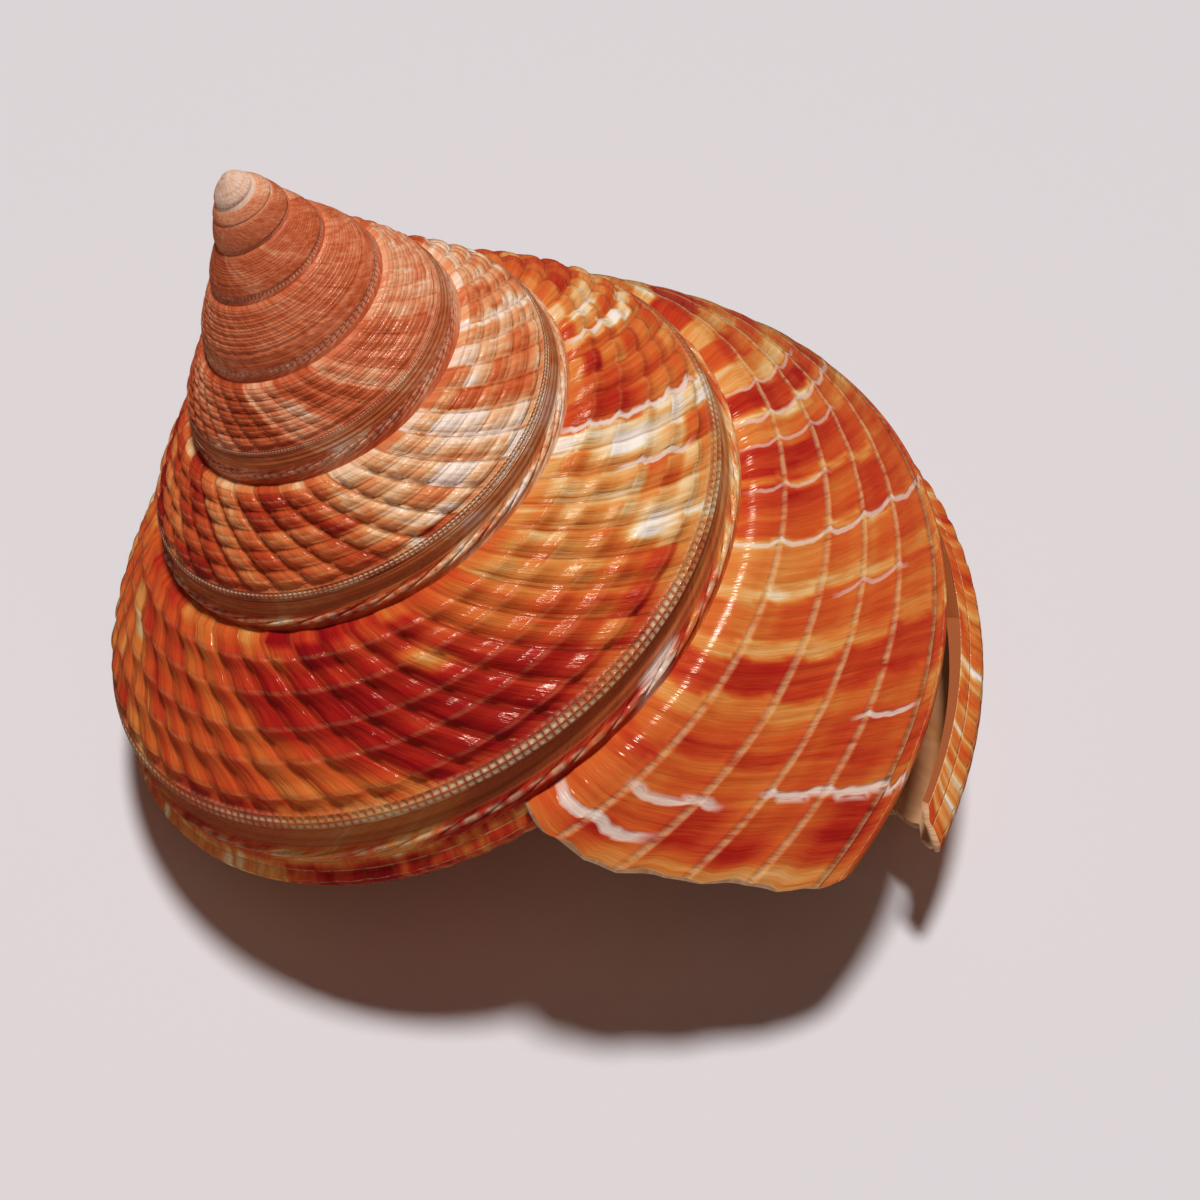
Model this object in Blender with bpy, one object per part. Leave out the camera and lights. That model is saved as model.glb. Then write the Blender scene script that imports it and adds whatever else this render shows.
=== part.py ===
"""A slit shell: a coiled top-shaped seashell with a narrow slit in its outer lip.

Metres, Z up. The shell stands as it was found, on its base and its mouth, with the
tip of the spire leaning toward -X and the slit on the right. One grown piece.
"""
import math

import bmesh
import bpy
import numpy as np
from mathutils import Vector

# Growth of the seam line in millimetres, one station per turn, the last one past the lip
TURNS = (-7, -6, -5, -4, -3, -2, -1, 0, 1)
SEAM_RADIUS = (0.93, 1.48, 2.41, 4.00, 6.19, 9.70, 14.74, 23.89, 34.60)
SEAM_DEPTH = (1.40, 2.04, 3.31, 5.55, 9.50, 14.48, 21.24, 32.44, 51.46)
FIRST_TURN = -7
START_ANGLE = 0.208          # turns, where the lip meets the seam, from +X toward the front
LEAN = math.radians(19.1)    # axis of the coil away from the vertical, toward -X
FLOOR_DROP = 48.95           # from the tip of the spire down to the resting plane
TIP_RISE = 0.45

# Shape of a whorl from seam to seam: place along the chord and height over it
FACE_PLACES = (0.00, 0.03, 0.12, 0.24, 0.38, 0.52, 0.66, 0.76, 0.81, 0.85, 0.92, 0.96, 1.00)
FACE_HEIGHTS = (
    0.000, 0.012, 0.028, 0.040, 0.051, 0.057, 0.055, 0.044, 0.032, 0.000, -0.044, -0.064, -0.096,
)
CORD_PLACES = (0.115, 0.240, 0.380, 0.520, 0.660, 0.765)
CORD_HEIGHT = 0.023
CORD_FOOT = 0.026
BAND_PLACES = (0.81, 0.85, 0.92, 0.96, 1.00)
BAND_CORD = 0.96

# Edge and underside of the last whorl, in the same chord measure
RIM = (
    (1.060, -0.100, 0.004), (1.114, -0.108, 0.018), (1.136, -0.190, 0.000), (1.138, -0.270, 0.018),
    (1.130, -0.350, 0.000), (1.104, -0.440, 0.018), (1.056, -0.515, 0.000),
)
# The rest of the underside, as a fraction of the way in to the pillar at the centre
INNER_BASE = (0.12, 0.24, 0.36, 0.48, 0.60, 0.71, 0.81, 0.90, 1.00)
PILLAR_RADIUS = 2.2
PILLAR_DEPTH = 50.5
BASE_SWELL = 2.75            # extra fullness of the hidden back of the underside
SWELL_START = -0.70
SWELL_TOP = -0.48
SWELL_END = -0.22
LIP_LIFT = 1.3               # the underside draws up a little toward the lip

# Growth lines: how far back in turns the edge of the shell lies at each column
SPIRE_SWEEP = 0.100
LIP_FACE = (
    (0.00, 0.000), (0.12, -0.005), (0.30, -0.022), (0.50, -0.046), (0.65, -0.061),
    (0.80, -0.078), (0.83, -0.085), (0.93, -0.118), (1.00, -0.121),
)
LIP_RIM = (-0.117, -0.114, -0.118, -0.123, -0.128, -0.131, -0.127)
LIP_BASE = (-0.106, -0.076, -0.048, -0.026, -0.010, 0.000, 0.000, 0.000, 0.000)
LIP_REACH = 0.5              # turns over which the growth lines swing into the lip

RIBS_PER_TURN = 48
ROWS_PER_TURN = 2 * RIBS_PER_TURN
RIB_HEIGHT = 0.019
SLIT_ROWS = 12

# Hollow of the mouth
CAVITY_STEP = 2
CAVITY_ROWS = 36
LIP_WALL = 0.9
MOUTH_MIDDLE = (0.70, -0.35)
WALL = 1.5
CORNER_OUTER = 4             # column of the outer wall that meets the inner whorl

COARSE_LIMIT = 13500
TRIANGLE_LIMIT = 9600

FACE = [(0.03, 0.0, 0.3)]
for spot in CORD_PLACES:
    FACE += [(spot - CORD_FOOT, 0.0, 0.3), (spot, CORD_HEIGHT, 1.0), (spot + CORD_FOOT, 0.0, 0.3)]
FACE += [(spot, CORD_HEIGHT * 0.8 if spot == BAND_CORD else 0.0, 0.0) for spot in BAND_PLACES]
SEAM = len(FACE)
SLIT_TOP = SEAM - 4          # columns of the whorl face that bound the slit
SLIT_BOTTOM = SEAM
CORNER_INNER = SEAM + 2      # column of the inner whorl where the hollow of the mouth begins
BASE_START = SEAM + len(RIM)
LAST_COLUMN = BASE_START + len(INNER_BASE)
PILLAR_COLUMN = LAST_COLUMN - 3
PILLAR_STEPS = 3

RADIUS_CURVE = np.polyfit(TURNS, np.log(SEAM_RADIUS), 6)
DEPTH_CURVE = np.polyfit(TURNS, np.log(SEAM_DEPTH), 6)


def smooth(value):
    value = min(max(value, 0.0), 1.0)
    return value * value * (3 - 2 * value)


def seam(turn):
    """Radius and depth of the seam line at a turn, in millimetres."""
    return (
        math.exp(np.polyval(RADIUS_CURVE, turn)),
        math.exp(np.polyval(DEPTH_CURVE, turn)),
    )


def chord_point(turn, along, out):
    """Point of a whorl section given in the chord measure, as radius and depth."""
    start_radius, start_depth = seam(turn)
    end_radius, end_depth = seam(turn + 1)
    run = end_radius - start_radius
    drop = end_depth - start_depth
    return (
        start_radius + along * run + out * drop,
        start_depth + along * drop - out * run,
    )


def base_swell(turn):
    rise = smooth((turn - SWELL_START) / (SWELL_TOP - SWELL_START))
    fall = smooth((SWELL_END - turn) / (SWELL_END - SWELL_TOP))
    return BASE_SWELL * min(rise, fall) - LIP_LIFT * smooth((turn + 0.14) / 0.12)


def base_point(turn, fraction):
    """Point of the underside between the rim and the pillar."""
    radius, depth = chord_point(turn, RIM[-1][0], RIM[-1][1])
    depth += base_swell(turn)
    fall = smooth((fraction - 0.2) / 0.8)
    return (
        radius + (PILLAR_RADIUS - radius) * fraction,
        depth + (PILLAR_DEPTH - depth) * fall,
    )


def section_point(turn, column, relief):
    """Radius and depth of any column of the section at a turn."""
    if column == 0 and turn < FIRST_TURN + 1:
        return seam(turn)
    if column == 0:
        return chord_point(turn - 1, FACE_PLACES[-1], FACE_HEIGHTS[-1])
    if column <= SEAM:
        along, cord, _ = FACE[column - 1]
        out = float(np.interp(along, FACE_PLACES, FACE_HEIGHTS))
        return chord_point(turn, along, out + cord * relief)
    if column <= BASE_START:
        along, out, cord = RIM[column - SEAM - 1]
        radius, depth = chord_point(turn, along, out)
        share = (column - SEAM) / len(RIM)
        swell = base_swell(turn)
        start_radius, start_depth = seam(turn)
        end_radius, end_depth = seam(turn + 1)
        size = math.hypot(end_radius - start_radius, end_depth - start_depth)
        return (
            radius + cord * relief * size,
            depth + swell * share * share,
        )
    return base_point(turn, INNER_BASE[column - BASE_START - 1])


def place(radius, depth, turn):
    """Section point to world position, the tip of the spire at the origin."""
    angle = 2 * math.pi * (turn + START_ANGLE)
    side = radius * math.cos(angle)
    x = math.sin(LEAN) * depth + math.cos(LEAN) * side
    y = -radius * math.sin(angle)
    z = -math.cos(LEAN) * depth + math.sin(LEAN) * side
    return Vector((x, y, z)) * 0.001


def spire_sweep(column):
    """Growth line of the spire: back to the slit band, then forward again."""
    if column > SEAM:
        return 0.0
    along = FACE[column - 1][0] if column else 0.0
    if along < 0.83:
        return -SPIRE_SWEEP * along / 0.83
    return -SPIRE_SWEEP * (1 - along) / 0.17


def lip_sweep(column):
    if column > BASE_START:
        return LIP_BASE[column - BASE_START - 1]
    if column > SEAM:
        return LIP_RIM[column - SEAM - 1]
    along = FACE[column - 1][0] if column else 0.0
    places, shifts = zip(*LIP_FACE)
    return float(np.interp(along, places, shifts))


def swept_turn(row_turn, column):
    share = max(0.0, 1 + row_turn / LIP_REACH) ** 2
    start = spire_sweep(column)
    return row_turn + start + (lip_sweep(column) - start) * share


def outer_point(row, column):
    """World position of the outside at a grid row and column."""
    row_turn = FIRST_TURN + row / ROWS_PER_TURN
    turn = swept_turn(row_turn, column)
    radius, depth = section_point(turn, column, smooth((row_turn + 6.2) / 2.2))
    if 0 < column < SEAM:
        fade = smooth((row_turn + 3.2) / 1.0) * smooth((-row_turn - 0.45) / 0.45)
        start_radius, start_depth = seam(turn)
        end_radius, end_depth = seam(turn + 1)
        height = RIB_HEIGHT * fade * FACE[column - 1][2] * (1 if row % 2 else -1)
        radius += height * (end_depth - start_depth)
        depth -= height * (end_radius - start_radius)
    return place(radius, depth, turn)


def inner_section(turn, column, wall):
    """Inside of the outer wall: the bare section drawn in toward the middle of the mouth."""
    previous = section_point(turn, column - 2, 0.0)
    following = section_point(turn, column + 2, 0.0)
    run = following[0] - previous[0]
    drop = following[1] - previous[1]
    length = math.hypot(run, drop)
    radius, depth = section_point(turn, column, 0.0)
    middle = chord_point(turn, *MOUTH_MIDDLE)
    inward = (middle[0] - radius, middle[1] - depth)
    reach = math.hypot(*inward)
    facing = (-inward[0] * drop + inward[1] * run) / (reach * length)
    travel = wall / max(abs(facing), 0.55) / reach
    return radius + inward[0] * travel, depth + inward[1] * travel


def inner_point(cavity_row, column):
    """World position of the inside of the mouth."""
    row_turn = -cavity_row * CAVITY_STEP / ROWS_PER_TURN
    wall = LIP_WALL + (WALL - LIP_WALL) * smooth(-row_turn / 0.09)
    if column <= PILLAR_COLUMN - PILLAR_STEPS:
        turn = swept_turn(row_turn, column)
        radius, depth = inner_section(turn, column, wall)
        return place(radius, depth, turn)
    # Up the side of the pillar, from the underside to the inner whorl
    foot_column = PILLAR_COLUMN - PILLAR_STEPS
    share = (column - foot_column) / PILLAR_STEPS
    turn = swept_turn(row_turn, column) if column < PILLAR_COLUMN else row_turn
    foot = inner_section(turn, foot_column, wall)
    head = section_point(row_turn - 1, PILLAR_COLUMN, 0.0)
    radius = foot[0] + (head[0] - foot[0]) * (1 - math.cos(share * math.pi / 2))
    depth = foot[1] + (head[1] - foot[1]) * math.sin(share * math.pi / 2)
    return place(radius, depth, turn)


def inner_whorl_point(cavity_row, column):
    """World position of the inner whorl's side of the mouth."""
    row_turn = -cavity_row * CAVITY_STEP / ROWS_PER_TURN
    radius, depth = section_point(row_turn - 1, column, 0.0)
    return place(radius, depth, row_turn - 1)


def add_face(mesh, corners):
    """Face over the corners, each used once."""
    loop = []
    for corner in corners:
        if corner not in loop:
            loop.append(corner)
    if len(loop) > 2:
        mesh.faces.new(loop)


def build_outside(mesh):
    """Outside of the whorls, each seam shared by the two whorls that meet there."""
    rows = -FIRST_TURN * ROWS_PER_TURN
    last_turn = rows - ROWS_PER_TURN
    grid = {}
    for row in range(rows + 1):
        columns = LAST_COLUMN if row >= last_turn else SEAM - 1
        for column in range(columns + 1):
            if row == rows and column in (0, LAST_COLUMN):
                continue
            if column == 0 and row >= ROWS_PER_TURN:
                continue
            grid[row, column] = mesh.verts.new(outer_point(row, column))
        if row < last_turn:
            grid[row, SEAM] = mesh.verts.new(outer_point(row, SEAM))
    for row in range(ROWS_PER_TURN, rows + 1):
        grid[row, 0] = grid[row - ROWS_PER_TURN, SEAM]
    grid[rows, LAST_COLUMN] = grid[last_turn, LAST_COLUMN]
    for row in range(rows):
        columns = LAST_COLUMN if row >= last_turn else SEAM
        for column in range(columns):
            in_slit = row >= rows - SLIT_ROWS and SLIT_TOP <= column < SLIT_BOTTOM
            if in_slit:
                continue
            add_face(mesh, (
                grid[row, column], grid[row, column + 1],
                grid[row + 1, column + 1], grid[row + 1, column],
            ))
    return grid, rows, last_turn


def close_tip(mesh, grid):
    """Round first whorl over the start of the coil."""
    loop = [grid[row, 0] for row in range(ROWS_PER_TURN + 1)]
    loop += [grid[0, column] for column in range(SEAM - 1, 0, -1)]
    axis = Vector((math.sin(LEAN), 0.0, -math.cos(LEAN)))
    shoulder = []
    for vert in loop:
        depth = vert.co.dot(axis)
        spoke = vert.co - axis * depth
        spot = axis * (depth * 0.3 - TIP_RISE * 0.0006) + spoke * 0.62
        shoulder.append(mesh.verts.new(spot))
    tip = mesh.verts.new(-axis * TIP_RISE * 0.001)
    for index, vert in enumerate(loop):
        following = (index + 1) % len(loop)
        add_face(mesh, (vert, loop[following], shoulder[following], shoulder[index]))
        add_face(mesh, (shoulder[index], shoulder[following], tip))


def close_base(mesh, grid, rows, last_turn):
    """End of the pillar in the middle of the underside."""
    axis = Vector((math.sin(LEAN), 0.0, -math.cos(LEAN)))
    centre = mesh.verts.new(axis * (PILLAR_DEPTH + 0.3) * 0.001)
    for row in range(last_turn, rows):
        add_face(mesh, (grid[row, LAST_COLUMN], centre, grid[row + 1, LAST_COLUMN]))


def build_mouth(mesh, grid, rows, last_turn):
    """Lip, slit walls and hollow."""
    inner = {}
    parietal = {}
    for step in range(CAVITY_ROWS + 1):
        for column in range(CORNER_INNER, PILLAR_COLUMN + 1):
            if step == 0:
                parietal[step, column] = grid[last_turn, column]
            else:
                parietal[step, column] = mesh.verts.new(inner_whorl_point(step, column))
        for column in range(CORNER_OUTER + 1, PILLAR_COLUMN):
            inner[step, column] = mesh.verts.new(inner_point(step, column))
        inner[step, CORNER_OUTER] = parietal[step, CORNER_INNER]
        inner[step, PILLAR_COLUMN] = parietal[step, PILLAR_COLUMN]

    slit_steps = SLIT_ROWS // CAVITY_STEP
    for step in range(CAVITY_ROWS):
        for column in range(CORNER_OUTER, PILLAR_COLUMN):
            if step < slit_steps and SLIT_TOP <= column < SLIT_BOTTOM:
                continue
            add_face(mesh, (
                inner[step, column], inner[step, column + 1],
                inner[step + 1, column + 1], inner[step + 1, column],
            ))
        for column in range(CORNER_INNER, PILLAR_COLUMN):
            add_face(mesh, (
                parietal[step, column], parietal[step, column + 1],
                parietal[step + 1, column + 1], parietal[step + 1, column],
            ))

    # Blind end of the hollow, a shallow dome
    end = [inner[CAVITY_ROWS, column] for column in range(CORNER_OUTER, PILLAR_COLUMN)]
    end += [
        parietal[CAVITY_ROWS, column]
        for column in range(PILLAR_COLUMN, CORNER_INNER, -1)
    ]
    before = inner[CAVITY_ROWS - 1, SLIT_TOP].co
    onward = (inner[CAVITY_ROWS, SLIT_TOP].co - before) * 0.9
    centre = sum((vert.co for vert in end), Vector()) / len(end)
    dome = [mesh.verts.new(centre.lerp(vert.co, 0.6) + onward) for vert in end]
    middle = mesh.verts.new(centre + onward * 1.5)
    for index, vert in enumerate(end):
        following = (index + 1) % len(end)
        add_face(mesh, (vert, end[following], dome[following], dome[index]))
        add_face(mesh, (dome[index], dome[following], middle))

    # Edge of the lip: near the seam and at the pillar it closes on the inner whorl
    partner = {}
    for column in range(LAST_COLUMN + 1):
        if column < CORNER_OUTER:
            share = column / CORNER_OUTER
            partner[column] = grid[last_turn, SEAM + int(share * (CORNER_INNER - SEAM))]
        elif column <= PILLAR_COLUMN:
            partner[column] = inner[0, column]
        else:
            partner[column] = grid[last_turn, column]
    for column in range(LAST_COLUMN):
        if SLIT_TOP <= column < SLIT_BOTTOM:
            continue
        add_face(mesh, (
            grid[rows, column], grid[rows, column + 1],
            partner[column + 1], partner[column],
        ))

    near_lip = {
        vert for (step, _), vert in [*inner.items(), *parietal.items()] if step <= 3
    }

    # Walls of the slit
    for column in (SLIT_TOP, SLIT_BOTTOM):
        for step in range(slit_steps):
            row = rows - step * CAVITY_STEP
            outside = [grid[row - index, column] for index in range(CAVITY_STEP + 1)]
            add_face(mesh, outside + [inner[step + 1, column], inner[step, column]])
    for column in range(SLIT_TOP, SLIT_BOTTOM):
        add_face(mesh, (
            grid[rows - SLIT_ROWS, column], grid[rows - SLIT_ROWS, column + 1],
            inner[slit_steps, column + 1], inner[slit_steps, column],
        ))
    return near_lip


def rest_flats(mesh):
    """Small worn flats where the shell stands."""
    cut = bmesh.ops.bisect_plane(
        mesh,
        geom=mesh.verts[:] + mesh.edges[:] + mesh.faces[:],
        plane_co=Vector((0, 0, -FLOOR_DROP * 0.001)),
        plane_no=Vector((0, 0, -1)),
        clear_outer=True,
    )
    rim = [item for item in cut["geom_cut"] if isinstance(item, bmesh.types.BMEdge)]
    bmesh.ops.holes_fill(mesh, edges=rim)


def shell_material():
    material = bpy.data.materials.new("shell")
    material.use_nodes = True
    shader = material.node_tree.nodes["Principled BSDF"]
    shader.inputs["Base Color"].default_value = (0.62, 0.22, 0.09, 1)
    shader.inputs["Roughness"].default_value = 0.3
    return material


def main():
    for item in list(bpy.data.objects):
        bpy.data.objects.remove(item)
    collection = bpy.data.collections.new("slit_shell")
    bpy.context.scene.collection.children.link(collection)

    mesh = bmesh.new()
    grid, rows, last_turn = build_outside(mesh)
    close_tip(mesh, grid)
    close_base(mesh, grid, rows, last_turn)
    detailed = build_mouth(mesh, grid, rows, last_turn)
    weights = mesh.verts.layers.deform.verify()
    for (row, column), vert in grid.items():
        on_whorls = row > rows - 2.05 * ROWS_PER_TURN and column <= SEAM + 6
        if on_whorls or row > rows - 5:
            detailed.add(vert)
    for vert in mesh.verts:
        vert[weights][0] = 0.0 if vert in detailed else 1.0
    unused = [vert for vert in mesh.verts if not vert.link_faces]
    bmesh.ops.delete(mesh, geom=unused, context="VERTS")
    bmesh.ops.recalc_face_normals(mesh, faces=mesh.faces)
    bmesh.ops.triangulate(mesh, faces=mesh.faces)
    data = bpy.data.meshes.new("slit_shell")
    mesh.to_mesh(data)
    shell = bpy.data.objects.new("slit_shell", data)
    collection.objects.link(shell)

    # First only the small whorls and the hollow are thinned, then the whole shell
    shell.vertex_groups.new(name="plain")
    coarse = shell.modifiers.new("coarse", "DECIMATE")
    coarse.ratio = COARSE_LIMIT / len(mesh.faces)
    coarse.vertex_group = "plain"
    fine = shell.modifiers.new("fine", "DECIMATE")
    fine.ratio = TRIANGLE_LIMIT / COARSE_LIMIT
    mesh.free()
    evaluated = shell.evaluated_get(bpy.context.evaluated_depsgraph_get())
    mesh = bmesh.new()
    mesh.from_mesh(evaluated.to_mesh())
    evaluated.to_mesh_clear()
    shell.modifiers.clear()
    rest_flats(mesh)
    bmesh.ops.triangulate(mesh, faces=mesh.faces)
    spots = np.array([vert.co for vert in mesh.verts])
    low = spots.min(axis=0)
    high = spots.max(axis=0)
    shift = Vector((-(low[0] + high[0]) / 2, -(low[1] + high[1]) / 2, -low[2]))
    bmesh.ops.translate(mesh, verts=mesh.verts, vec=shift)
    mesh.to_mesh(data)
    mesh.free()
    data.shade_smooth()
    data.set_sharp_from_angle(angle=math.radians(50))
    data.materials.append(shell_material())


main()
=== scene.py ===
import math
import bpy
import numpy as np
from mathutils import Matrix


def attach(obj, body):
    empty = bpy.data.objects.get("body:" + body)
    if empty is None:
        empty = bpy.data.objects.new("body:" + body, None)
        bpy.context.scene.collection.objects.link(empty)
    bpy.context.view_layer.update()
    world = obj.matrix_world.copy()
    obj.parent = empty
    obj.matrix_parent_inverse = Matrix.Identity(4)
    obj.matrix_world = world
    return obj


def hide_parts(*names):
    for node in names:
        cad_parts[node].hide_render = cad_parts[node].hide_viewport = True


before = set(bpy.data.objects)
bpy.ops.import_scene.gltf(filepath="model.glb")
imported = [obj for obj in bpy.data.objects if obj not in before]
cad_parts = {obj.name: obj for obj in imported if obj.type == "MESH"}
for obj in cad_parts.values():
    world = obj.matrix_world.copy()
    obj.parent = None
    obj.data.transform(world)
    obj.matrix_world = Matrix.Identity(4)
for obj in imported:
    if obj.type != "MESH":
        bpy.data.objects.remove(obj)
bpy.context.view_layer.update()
print("frame loaded")


# Camera, where the photo was taken from
view = {
    "position": (0.00399, -0.10066, 0.12941),
    "lens": 66.42,
    "lookDown": 50.0,   # degrees below level, straight toward +Y
}

cameraData = bpy.data.cameras.new("camera")
cameraData.lens = view["lens"]
cameraData.sensor_width = 36
cameraData.sensor_fit = "HORIZONTAL"
cameraData.clip_start = 0.005
camera = bpy.data.objects.new("camera", cameraData)
camera.location = view["position"]
camera.rotation_euler = (math.radians(90 - view["lookDown"]), 0, 0)
bpy.context.scene.collection.objects.link(camera)
bpy.context.scene.camera = camera
bpy.context.scene.view_settings.view_transform = "Standard"


# The coil: lengths in millimetres, turns counted back from the lip
coil = {
    "turns": (-7, -6, -5, -4, -3, -2, -1, 0, 1),
    "seamRadius": (0.93, 1.48, 2.41, 4.00, 6.19, 9.70, 14.74, 23.89, 34.60),
    "seamDepth": (1.40, 2.04, 3.31, 5.55, 9.50, 14.48, 21.24, 32.44, 51.46),
    "startAngle": 0.208,
    "lean": 19.1,
    "tip": (-16.886, -2.088, 48.950),
    "blunt": (0.55, -0.2),   # how much wider and flatter the first turns are than the plain coil
    "tipDepth": -0.45,
    "closed": 8,   # turns back from the lip where the coil shrinks to a point
}

# Section of a whorl, in fractions of the chord from seam to seam
section = {
    "facePlaces": (0, 0.03, 0.12, 0.24, 0.38, 0.52, 0.66, 0.76, 0.81, 0.85, 0.92, 0.96, 1.0),
    "faceOut": (0, 0.012, 0.028, 0.040, 0.051, 0.057, 0.055, 0.044, 0.032, 0.0, -0.044, -0.064, -0.096),
    "rimAlong": (1.0, 1.060, 1.114, 1.136, 1.138, 1.130, 1.104, 1.056),
    "rimOut": (-0.096, -0.100, -0.108, -0.190, -0.270, -0.350, -0.440, -0.515),
    "crown": ((-8, -7, -6, -4, -2.5), (1.6, 1.3, 1.0, 0.8, 1.0)),
    "tuck": ((-4.6, -2.6, -1.1, -0.5), (0.15, 0.5, 0.6, 1.0)),
    "pillarRadius": 2.2,
    "pillarDepth": 50.5,
    "swell": 2.75,      # extra depth under the base, in millimetres
    "lipRise": 1.3,     # and how far the base is raised at the lip
}

# Shape of the growth lines and of the lip, in turns behind the seam
lines = {
    "sweep": 0.100,
    "facePlaces": (0, 0.12, 0.30, 0.50, 0.65, 0.80, 0.83, 0.93, 1.0),
    "face": (0, -0.005, -0.022, -0.046, -0.061, -0.078, -0.085, -0.118, -0.121),
    "rim": (-0.121, -0.117, -0.114, -0.118, -0.123, -0.128, -0.131, -0.127),
    "basePlaces": (0, 0.12, 0.24, 0.36, 0.48, 0.60, 0.71, 0.81, 0.90, 1.0),
    "base": (-0.127, -0.106, -0.076, -0.048, -0.026, -0.010, 0, 0, 0, 0),
    "reach": 0.5,          # turns over which the lines take the form of the lip
    "bandPlace": 0.83,     # where the slit band turns them back
    "belowShare": 0.75,    # how much of the bend is left out under the band
    "waves": ((0.0014, 31, 0), (0.0009, 67, 1)),   # unevenness of the lip: size, waves, start
    "waveTurns": 0.03,
}

# Where the seam, the five upper cords, the beaded band, the slit band, the lowest cord
# and the next seam lie across a whorl, at a few turns
features = {
    "turns": (-4.0, -3.0, -2.0, -1.0, -0.45, -0.10),
    "places": (
        (0, 0.10, 0.22, 0.33, 0.44, 0.55, 0.63, 0.67, 0.70, 0.79, 0.87, 1.0),
        (0, 0.10, 0.22, 0.33, 0.44, 0.55, 0.63, 0.67, 0.70, 0.79, 0.87, 1.0),
        (0, 0.10, 0.215, 0.35, 0.48, 0.62, 0.70, 0.745, 0.78, 0.87, 0.93, 1.0),
        (0, 0.10, 0.23, 0.38, 0.51, 0.66, 0.75, 0.82, 0.84, 0.91, 0.955, 1.0),
        (0, 0.115, 0.27, 0.41, 0.55, 0.72, 0.775, 0.812, 0.835, 0.93, 0.965, 1.0),
        (0, 0.12, 0.29, 0.43, 0.57, 0.74, 0.785, 0.800, 0.810, 0.985, 0.992, 1.0),
    ),
}


def smoothStep(value):
    value = np.clip(value, 0.0, 1.0)
    return value * value * (3 - 2 * value)


def curveThrough(value, places, heights):
    places = np.asarray(places, float)
    heights = np.asarray(heights, float)
    slopes = np.gradient(heights, places)
    value = np.clip(value, places[0], places[-1])
    index = np.clip(np.searchsorted(places, value, side="right") - 1, 0, len(places) - 2)
    width = places[index + 1] - places[index]
    part = (value - places[index]) / width
    square = part * part
    cube = square * part
    return (
        heights[index] * (2 * cube - 3 * square + 1) + heights[index + 1] * (3 * square - 2 * cube)
        + slopes[index] * width * (cube - 2 * square + part)
        + slopes[index + 1] * width * (cube - square)
    )


radiusCurve = np.polyfit(coil["turns"], np.log(coil["seamRadius"]), 6)
depthCurve = np.polyfit(coil["turns"], np.log(coil["seamDepth"]), 6)


def seam(turn):
    later = np.maximum(turn, coil["turns"][0])
    early = smoothStep((-4.6 - later) / 2.4)
    start = np.clip(turn + coil["closed"], 0, 1)
    radius = np.exp(np.polyval(radiusCurve, later)) * (1 + coil["blunt"][0] * early)
    depth = np.exp(np.polyval(depthCurve, later)) * (1 + coil["blunt"][1] * early)
    return radius * start ** 0.7, coil["tipDepth"] + (depth - coil["tipDepth"]) * start ** 1.2


def chordPoint(turn, along, out):
    startRadius, startDepth = seam(turn)
    endRadius, endDepth = seam(turn + 1)
    run = endRadius - startRadius
    drop = endDepth - startDepth
    return startRadius + along * run + out * drop, startDepth + along * drop - out * run


def chordLength(turn):
    startRadius, startDepth = seam(turn)
    endRadius, endDepth = seam(turn + 1)
    return np.hypot(endRadius - startRadius, endDepth - startDepth)


def baseSwell(turn):
    rise = smoothStep((turn + 0.70) / 0.22)
    fall = smoothStep((-0.22 - turn) / 0.26)
    lip = smoothStep((turn + 0.14) / 0.12)
    return section["swell"] * np.minimum(rise, fall) - section["lipRise"] * lip


# Place 0 to 1 crosses the face, 1 to 2 rounds the rim, 2 to 3 runs in under the base
def sectionPoint(turn, place):
    turn, place = np.broadcast_arrays(turn, place)
    faceOut = curveThrough(place, section["facePlaces"], section["faceOut"])
    # The first whorls are rounder, and early seams are shallower
    crown = np.interp(turn, *section["crown"])
    tuck = np.interp(turn, *section["tuck"])
    faceOut = faceOut * np.where(faceOut > 0, crown, tuck)
    faceRadius, faceDepth = chordPoint(turn, np.minimum(place, 1), faceOut)
    steps = np.linspace(1, 2, len(section["rimAlong"]))
    rimAlong = curveThrough(place, steps, section["rimAlong"])
    rimOut = curveThrough(place, steps, section["rimOut"])
    spare = (1 - tuck) * np.clip(1 - (place - 1) / 0.35, 0, 1) ** 2
    rimRadius, rimDepth = chordPoint(turn, rimAlong, rimOut - section["rimOut"][0] * spare)
    rimDepth = rimDepth + baseSwell(turn) * np.clip(place - 1, 0, 1) ** 2
    edgeRadius, edgeDepth = chordPoint(turn, section["rimAlong"][-1], section["rimOut"][-1])
    edgeDepth = edgeDepth + baseSwell(turn)
    fraction = np.clip(place - 2, 0, 1)
    fall = smoothStep((fraction - 0.2) / 0.8)
    baseRadius = edgeRadius + (section["pillarRadius"] - edgeRadius) * fraction
    baseDepth = edgeDepth + (section["pillarDepth"] - edgeDepth) * fall
    radius = np.where(place <= 1, faceRadius, np.where(place <= 2, rimRadius, baseRadius))
    depth = np.where(place <= 1, faceDepth, np.where(place <= 2, rimDepth, baseDepth))
    return radius, depth


def lipShare(row):
    return np.maximum(0.0, 1 + row / lines["reach"]) ** 2


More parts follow.
